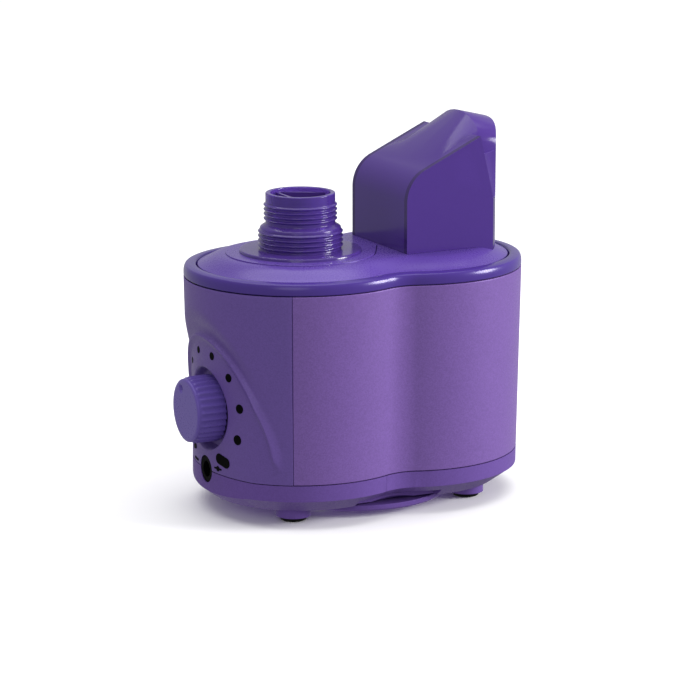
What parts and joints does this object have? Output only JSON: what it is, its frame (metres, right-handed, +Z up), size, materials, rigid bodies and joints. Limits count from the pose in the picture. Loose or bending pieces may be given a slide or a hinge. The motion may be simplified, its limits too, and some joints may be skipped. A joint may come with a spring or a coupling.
{
  "type": "travel humidifier",
  "caption": "Travel humidifier with a figure-eight body, a ridged neck for an upturned drinks bottle, a hooded mist outlet and a ribbed output dial.",
  "frame": {"origin": "centre of the whole outline, on the surface that the feet stand on", "axes": "+X along the body away from the dial, +Y across the body, +Z up"},
  "size_m": [0.1338, 0.086, 0.1425],
  "materials": {
    "body": "satin metallic purple paint with a fine sparkle",
    "panel": "satin metallic purple paint, same as the body",
    "base": "satin metallic purple moulding",
    "knob": "soft gloss metallic purple moulding",
    "rim": "deep glossy violet moulding",
    "cover": "semi gloss violet moulding",
    "clear_violet": "see-through violet moulding",
    "ink": "black printed marks",
    "rubber": "black rubber",
    "silicone": "milky silicone",
    "inner_plastic": "white moulding",
    "black_plastic": "black moulding",
    "steel": "zinc plated steel",
    "gold_contact": "plated contact",
    "ceramic": "silvered ceramic disc",
    "board": "green circuit board",
    "aluminium": "extruded aluminium",
    "copper": "enamelled copper winding",
    "can": "sleeved capacitor"
  },
  "bodies": {
    "housing": {"base_tray": "base", "rubber_feet": "rubber", "intake_cover": "base", "intake_screws": "steel", "case_screws": "steel", "body_wrap": "body", "front_panel": "panel", "dial_marks": "ink", "inlet_marks": "ink", "pot_body": "black_plastic", "pot_nut": "steel", "dc_jack": "black_plastic", "jack_pin": "gold_contact", "water_basin": "inner_plastic", "basin_seal": "rubber", "mist_disc": "ceramic", "disc_seal": "rubber", "disc_ring": "aluminium", "ring_screws": "steel", "mist_duct": "inner_plastic", "float_post": "inner_plastic", "fan_frame": "black_plastic", "fan_screws": "steel", "circuit_board": "board", "board_screws": "steel", "heat_sink": "aluminium", "transistor": "black_plastic", "coil": "copper", "capacitors": "can"},
    "dial": {"dial_knob": "knob", "pot_shaft": "steel"},
    "fan": {"fan_rotor": "black_plastic"},
    "float_ring": {"float": "inner_plastic"},
    "lid": {"lid_rim": "rim", "top_cover": "cover"},
    "neck": {"neck_plate": "cover", "bottle_neck": "clear_violet", "neck_seal": "silicone", "valve_web": "clear_violet", "valve_spring": "steel"},
    "valve": {"valve_stem": "inner_plastic", "valve_seal": "rubber"},
    "hood": {"mist_hood": "clear_violet"}
  },
  "joints": [
    {"name": "dial_turn", "type": "hinge", "parent": "housing", "child": "dial", "pos_m": [-0.0581, 0, 0.0396], "axis": [1, 0, 0], "range_deg": [-108, 162]},
    {"name": "fan_spin", "type": "hinge", "parent": "housing", "child": "fan", "pos_m": [0.0219, 0, 0.025], "axis": [0, 0, 1], "continuous": true},
    {"name": "float_rise", "type": "slide", "parent": "housing", "child": "float_ring", "axis": [0, 0, 1], "range_m": [0, 0.008]},
    {"name": "lid_lift", "type": "slide", "parent": "housing", "child": "lid", "axis": [0, 0, 1], "range_m": [0, 0.06]},
    {"name": "neck_lift", "type": "slide", "parent": "lid", "child": "neck", "axis": [0, 0, 1], "range_m": [0, 0.04]},
    {"name": "valve_open", "type": "slide", "parent": "neck", "child": "valve", "axis": [0, 0, 1], "range_m": [0, 0.003], "stiffness_N_per_m": 120, "springref_m": -0.0005, "deforming": ["valve_spring"]},
    {"name": "hood_lift", "type": "slide", "parent": "lid", "child": "hood", "axis": [0, 0, 1], "range_m": [0, 0.05]}
  ]
}
